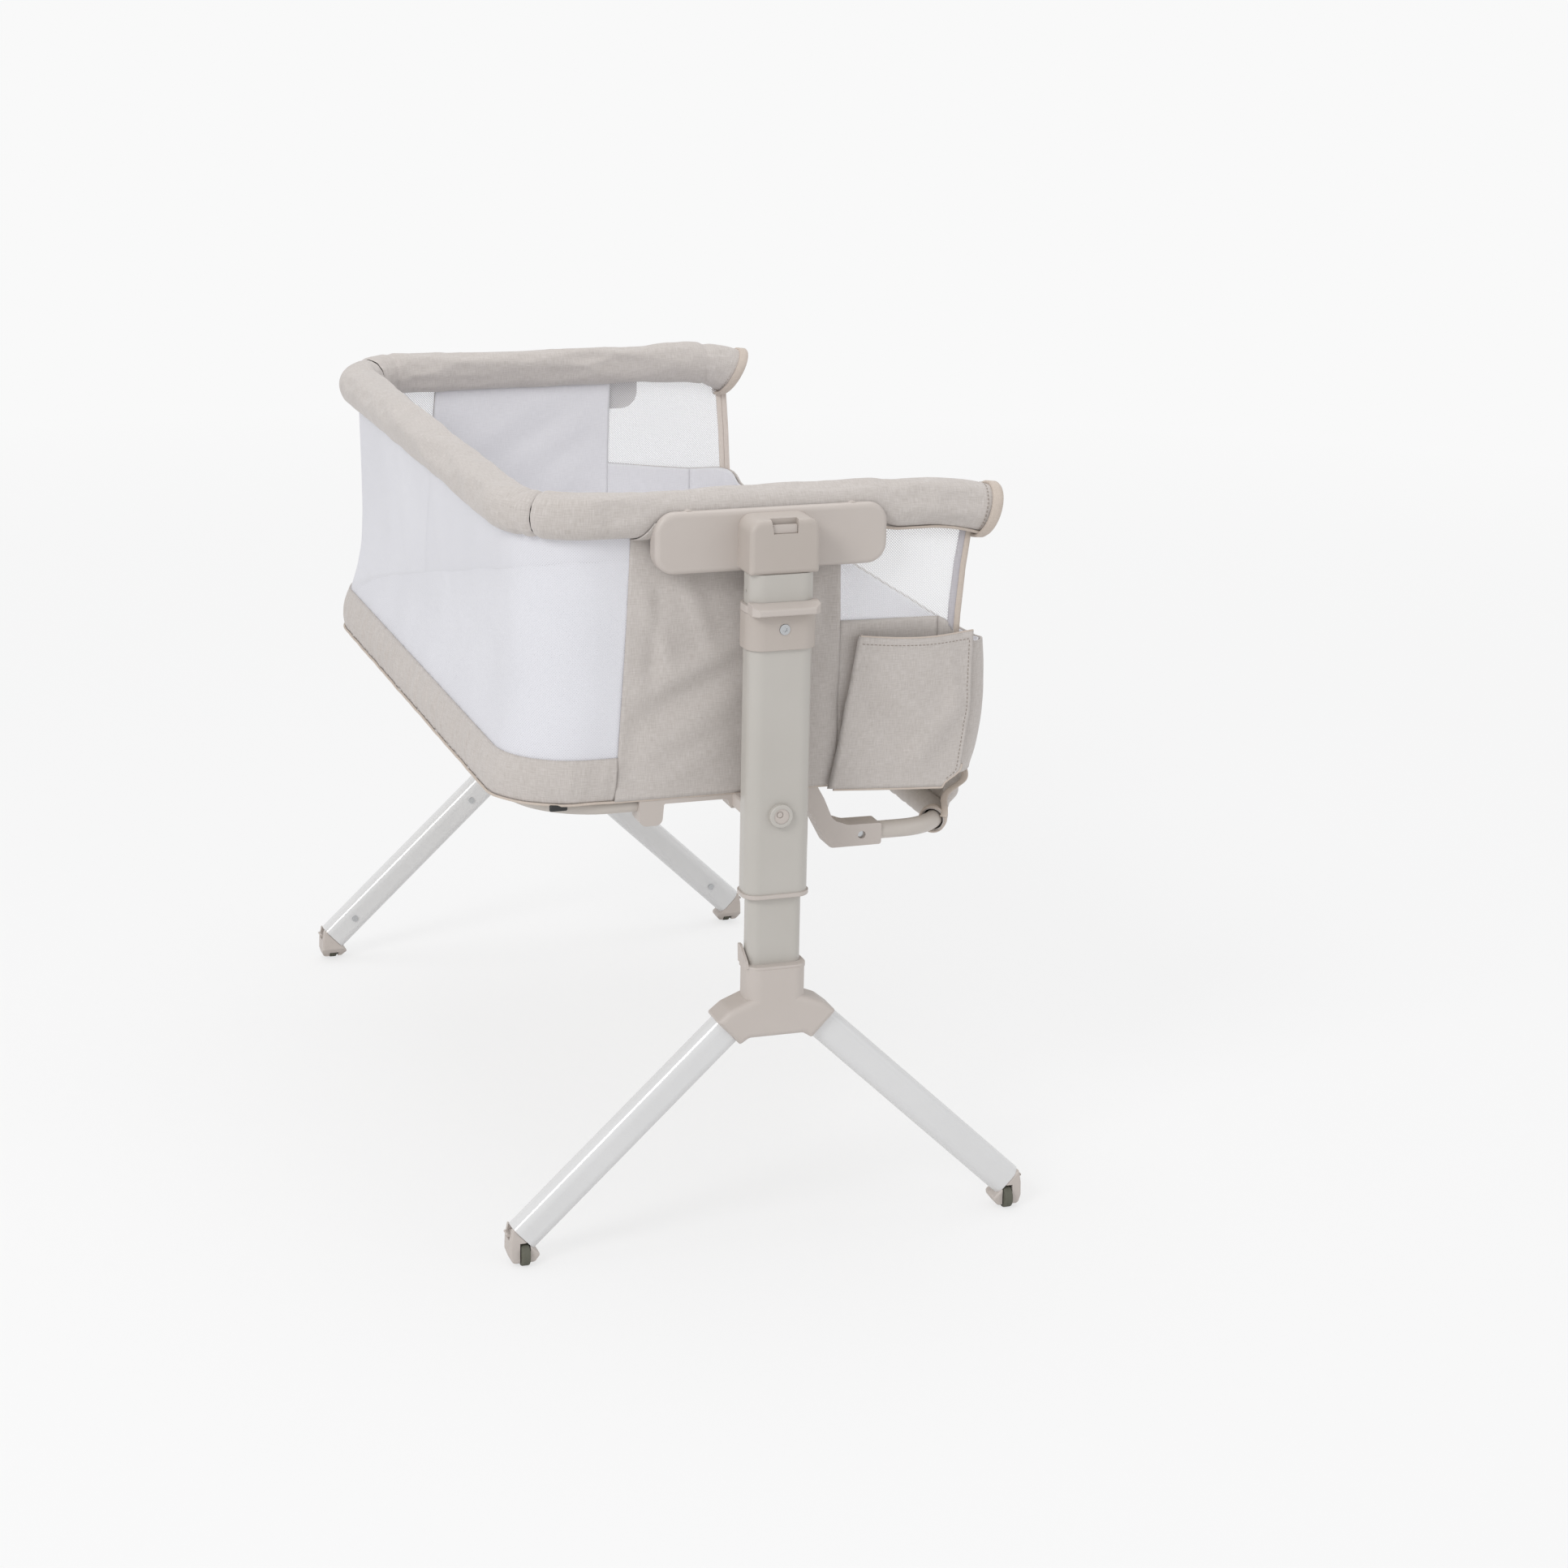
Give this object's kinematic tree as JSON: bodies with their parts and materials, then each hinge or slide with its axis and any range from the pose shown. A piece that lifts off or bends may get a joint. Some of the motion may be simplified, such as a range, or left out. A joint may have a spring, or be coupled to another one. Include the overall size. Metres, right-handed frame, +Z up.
{
  "type": "bedside sleeper crib",
  "caption": "Padded fabric and mesh sleeping basket on telescoping T-posts with wheeled inverted-V legs; one long side is low and its zip-up panel hangs round a plug-in bar.",
  "frame": {"origin": "floor point below the middle of the crib's bounding box", "axes": "+X towards the low bed side, +Y along the crib away from the pocketed end, +Z up"},
  "size_m": [0.6024, 1.07, 0.839],
  "materials": {
    "linen": "woven melange linen look",
    "mesh": "fine open air mesh",
    "tape": "narrow woven binding tape",
    "mattress_cover": "quilted cotton cover over foam",
    "moulded_plastic": "fine-grained injection moulding",
    "post_paint": "satin powder coat",
    "leg_paint": "gloss white powder coat",
    "tube_paint": "satin powder coat",
    "wheel_rubber": "dense rubber",
    "screw_steel": "bright plated steel",
    "buckle_plastic": "moulded nylon",
    "board_wood": "thin fibre board"
  },
  "bodies": {
    "basket": {"base_board": "board_wood", "base_tube": "tube_paint", "bed_side_wall": "linen", "collar_screws": "screw_steel", "end_pocket": "linen", "mesh_panels": "mesh", "hem_band": "linen", "mattress": "mattress_cover", "rail_tube": "tube_paint", "edge_tapes": "tape", "side_rail_pad": "linen", "drop_panel": "linen", "strap_buckle": "buckle_plastic", "near_base_bracket": "moulded_plastic", "near_collar": "moulded_plastic", "near_end_panel": "linen", "near_head": "moulded_plastic", "near_post_bush": "moulded_plastic", "near_post_sleeve": "post_paint", "near_rail_pad": "linen", "near_t_bar": "moulded_plastic", "far_base_bracket": "moulded_plastic", "far_collar": "moulded_plastic", "far_end_panel": "linen", "far_head": "moulded_plastic", "far_post_bush": "moulded_plastic", "far_post_sleeve": "post_paint", "far_rail_pad": "linen", "far_t_bar": "moulded_plastic"},
    "near_stand": {"near_stand_hub": "moulded_plastic", "near_inner_post": "post_paint", "near_left_leg": "leg_paint", "near_right_leg": "leg_paint", "near_left_foot_cap": "moulded_plastic", "near_right_foot_cap": "moulded_plastic", "near_stand_fasteners": "screw_steel"},
    "near_left_wheel_body": {"near_left_wheel": "wheel_rubber"},
    "near_left_brake": {"near_left_brake_tab": "moulded_plastic"},
    "near_right_wheel_body": {"near_right_wheel": "wheel_rubber"},
    "near_right_brake": {"near_right_brake_tab": "moulded_plastic"},
    "near_lock": {"near_lock_button": "moulded_plastic"},
    "near_lever": {"near_release_lever": "moulded_plastic"},
    "near_latch": {"near_head_latch": "moulded_plastic"},
    "far_stand": {"far_stand_hub": "moulded_plastic", "far_inner_post": "post_paint", "far_left_leg": "leg_paint", "far_right_leg": "leg_paint", "far_left_foot_cap": "moulded_plastic", "far_right_foot_cap": "moulded_plastic", "far_stand_fasteners": "screw_steel"},
    "far_left_wheel_body": {"far_left_wheel": "wheel_rubber"},
    "far_left_brake": {"far_left_brake_tab": "moulded_plastic"},
    "far_right_wheel_body": {"far_right_wheel": "wheel_rubber"},
    "far_right_brake": {"far_right_brake_tab": "moulded_plastic"},
    "far_lock": {"far_lock_button": "moulded_plastic"},
    "far_lever": {"far_release_lever": "moulded_plastic"},
    "far_latch": {"far_head_latch": "moulded_plastic"},
    "bar": {"u_bar": "tube_paint", "u_bar_snap_buttons": "screw_steel", "drop_loop": "linen"}
  },
  "joints": [
    {"name": "near_height_slide", "type": "slide", "parent": "basket", "child": "near_stand", "axis": [0, 0, 1], "range_m": [-0.06, 0.04]},
    {"name": "near_left_wheel_spin", "type": "hinge", "parent": "near_stand", "child": "near_left_wheel_body", "pos_m": [-0.282, -0.513, 0.0125], "axis": [1, 0, 0], "continuous": true},
    {"name": "near_left_brake_press", "type": "hinge", "parent": "near_stand", "child": "near_left_brake", "pos_m": [-0.2925, -0.505, 0.034], "axis": [0, -1, 0], "range_deg": [0, 16]},
    {"name": "near_right_wheel_spin", "type": "hinge", "parent": "near_stand", "child": "near_right_wheel_body", "pos_m": [0.282, -0.513, 0.0125], "axis": [1, 0, 0], "continuous": true},
    {"name": "near_right_brake_press", "type": "hinge", "parent": "near_stand", "child": "near_right_brake", "pos_m": [0.2925, -0.505, 0.034], "axis": [0, 1, 0], "range_deg": [0, 16]},
    {"name": "near_lock_press", "type": "slide", "parent": "basket", "child": "near_lock", "axis": [0, 1, 0], "range_m": [0, 0.0021], "stiffness_N_per_m": 900},
    {"name": "near_lever_lift", "type": "slide", "parent": "basket", "child": "near_lever", "axis": [0, 0, 1], "range_m": [0, 0.008], "stiffness_N_per_m": 900, "springref_m": -0.002},
    {"name": "near_latch_press", "type": "slide", "parent": "basket", "child": "near_latch", "axis": [0, 1, 0], "range_m": [0, 0.003], "stiffness_N_per_m": 800},
    {"name": "far_height_slide", "type": "slide", "parent": "basket", "child": "far_stand", "axis": [0, 0, 1], "range_m": [-0.06, 0.04]},
    {"name": "far_left_wheel_spin", "type": "hinge", "parent": "far_stand", "child": "far_left_wheel_body", "pos_m": [-0.282, 0.513, 0.0125], "axis": [1, 0, 0], "continuous": true},
    {"name": "far_left_brake_press", "type": "hinge", "parent": "far_stand", "child": "far_left_brake", "pos_m": [-0.2925, 0.505, 0.034], "axis": [0, -1, 0], "range_deg": [0, 16]},
    {"name": "far_right_wheel_spin", "type": "hinge", "parent": "far_stand", "child": "far_right_wheel_body", "pos_m": [0.282, 0.513, 0.0125], "axis": [1, 0, 0], "continuous": true},
    {"name": "far_right_brake_press", "type": "hinge", "parent": "far_stand", "child": "far_right_brake", "pos_m": [0.2925, 0.505, 0.034], "axis": [0, 1, 0], "range_deg": [0, 16]},
    {"name": "far_lock_press", "type": "slide", "parent": "basket", "child": "far_lock", "axis": [0, -1, 0], "range_m": [0, 0.0021], "stiffness_N_per_m": 900},
    {"name": "far_lever_lift", "type": "slide", "parent": "basket", "child": "far_lever", "axis": [0, 0, 1], "range_m": [0, 0.008], "stiffness_N_per_m": 900, "springref_m": -0.002},
    {"name": "far_latch_press", "type": "slide", "parent": "basket", "child": "far_latch", "axis": [0, -1, 0], "range_m": [0, 0.003], "stiffness_N_per_m": 800},
    {"name": "bar_pull", "type": "slide", "parent": "basket", "child": "bar", "axis": [1, 0, 0], "range_m": [0, 0.04]}
  ]
}
